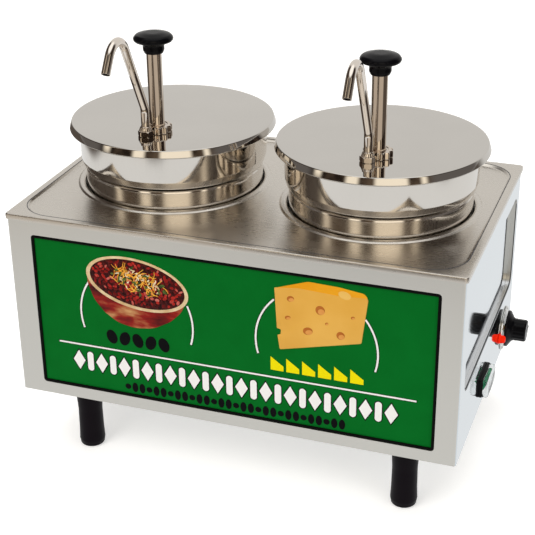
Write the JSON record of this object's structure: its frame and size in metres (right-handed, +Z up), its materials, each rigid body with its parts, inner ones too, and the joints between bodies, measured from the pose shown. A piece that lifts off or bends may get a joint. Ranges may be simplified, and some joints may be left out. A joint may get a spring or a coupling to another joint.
{
  "type": "countertop topping warmer with portion pumps",
  "caption": "Countertop warmer for cheese and chilli sauce: lit steel case, lift-out pots with lids, press-down portion pumps with gooseneck spouts, side heat dial and rocker switch.",
  "frame": {"origin": "centre of the case's underside, on the base panel; the table is 90.3 mm below it, under the feet", "axes": "+Z up; -Y is the lit front panel; +X is the side with the controls"},
  "size_m": [0.5676, 0.3927, 0.5305],
  "materials": {
    "case_steel": "satin brushed stainless sheet",
    "pot_steel": "mirror-polished stainless",
    "lid_steel": "polished stainless sheet",
    "pump_steel": "bright polished stainless tube",
    "inner_steel": "plain mill finish",
    "black_gloss": "glossy moulded phenolic",
    "black_plastic": "matt moulded plastic",
    "rubber": "matt black rubber",
    "sign_green": "printed translucent plastic, backlit",
    "white_plastic": "white moulded plastic",
    "lamp_glass": "frosted white glass",
    "dial_silver": "satin anodised plate",
    "lens_red": "clear red plastic lens",
    "lens_green": "clear green plastic rocker",
    "clear_plastic": "clear soft vinyl",
    "copper": "drawn copper",
    "brass": "turned brass"
  },
  "bodies": {
    "case": {"back_panel": "case_steel", "ballast": "black_plastic", "base_panel": "inner_steel", "casing": "case_steel", "deck_plate": "case_steel", "dial_plate": "dial_silver", "heater_left": "inner_steel", "heater_right": "inner_steel", "lamp_holder_left": "white_plastic", "lamp_holder_right": "white_plastic", "lamp_reflector": "white_plastic", "lamp_tube": "lamp_glass", "leg_bolt_front_left": "inner_steel", "leg_bolt_front_right": "inner_steel", "leg_bolt_rear_left": "inner_steel", "leg_bolt_rear_right": "inner_steel", "leg_front_left": "black_plastic", "leg_front_right": "black_plastic", "leg_rear_left": "black_plastic", "leg_rear_right": "black_plastic", "pilot_lamp": "lens_red", "plug": "rubber", "power_cord": "rubber", "probe_tube": "copper", "sign_bracket_left": "inner_steel", "sign_bracket_right": "inner_steel", "sign_panel": "sign_green", "sign_trim": "rubber", "strain_relief": "rubber", "switch_body": "black_plastic", "switch_boot": "clear_plastic", "terminal_block": "white_plastic", "thermostat_body": "white_plastic", "well_left": "inner_steel", "well_right": "inner_steel"},
    "pot_left_body": {"pot_left": "pot_steel"},
    "lid_left_body": {"lid_left": "lid_steel", "pump_cylinder_left": "inner_steel", "lock_collar_left": "pump_steel", "spout_nut_left": "pump_steel", "discharge_tube_left": "pump_steel", "return_spring_left": "inner_steel"},
    "plunger_left": {"pump_knob_left": "black_gloss", "plunger_tube_left": "pump_steel", "piston_left": "white_plastic"},
    "ball_left": {"inlet_ball_left": "inner_steel"},
    "pot_right_body": {"pot_right": "pot_steel"},
    "lid_right_body": {"lid_right": "lid_steel", "pump_cylinder_right": "inner_steel", "lock_collar_right": "pump_steel", "spout_nut_right": "pump_steel", "discharge_tube_right": "pump_steel", "return_spring_right": "inner_steel"},
    "plunger_right": {"pump_knob_right": "black_gloss", "plunger_tube_right": "pump_steel", "piston_right": "white_plastic"},
    "ball_right": {"inlet_ball_right": "inner_steel"},
    "heat_dial": {"thermostat_knob": "black_gloss", "thermostat_shaft": "brass"},
    "rocker": {"switch_rocker": "lens_green"}
  },
  "joints": [
    {"name": "pot_lift_left", "type": "slide", "parent": "case", "child": "pot_left_body", "axis": [0, 0, 1], "range_m": [0, 0.18]},
    {"name": "lid_lift_left", "type": "slide", "parent": "pot_left_body", "child": "lid_left_body", "axis": [0, 0, 1], "range_m": [0, 0.25]},
    {"name": "plunger_press_left", "type": "slide", "parent": "lid_left_body", "child": "plunger_left", "axis": [0, 0, -1], "range_m": [0, 0.045], "stiffness_N_per_m": 60, "deforming": ["return_spring_left"]},
    {"name": "inlet_valve_left", "type": "slide", "parent": "lid_left_body", "child": "ball_left", "axis": [0, 0, 1], "range_m": [0, 0.0025]},
    {"name": "pot_lift_right", "type": "slide", "parent": "case", "child": "pot_right_body", "axis": [0, 0, 1], "range_m": [0, 0.18]},
    {"name": "lid_lift_right", "type": "slide", "parent": "pot_right_body", "child": "lid_right_body", "axis": [0, 0, 1], "range_m": [0, 0.25]},
    {"name": "plunger_press_right", "type": "slide", "parent": "lid_right_body", "child": "plunger_right", "axis": [0, 0, -1], "range_m": [0, 0.045], "stiffness_N_per_m": 60, "deforming": ["return_spring_right"]},
    {"name": "inlet_valve_right", "type": "slide", "parent": "lid_right_body", "child": "ball_right", "axis": [0, 0, 1], "range_m": [0, 0.0025]},
    {"name": "heat_dial_turn", "type": "hinge", "parent": "case", "child": "heat_dial", "pos_m": [0.2682, 0.117, 0.0292], "axis": [-1, 0, 0], "range_deg": [0, 300]},
    {"name": "rocker_tilt", "type": "hinge", "parent": "case", "child": "rocker", "pos_m": [0.2682, -0.0195, 0.0292], "axis": [0, -1, 0], "range_deg": [0, 14]}
  ]
}
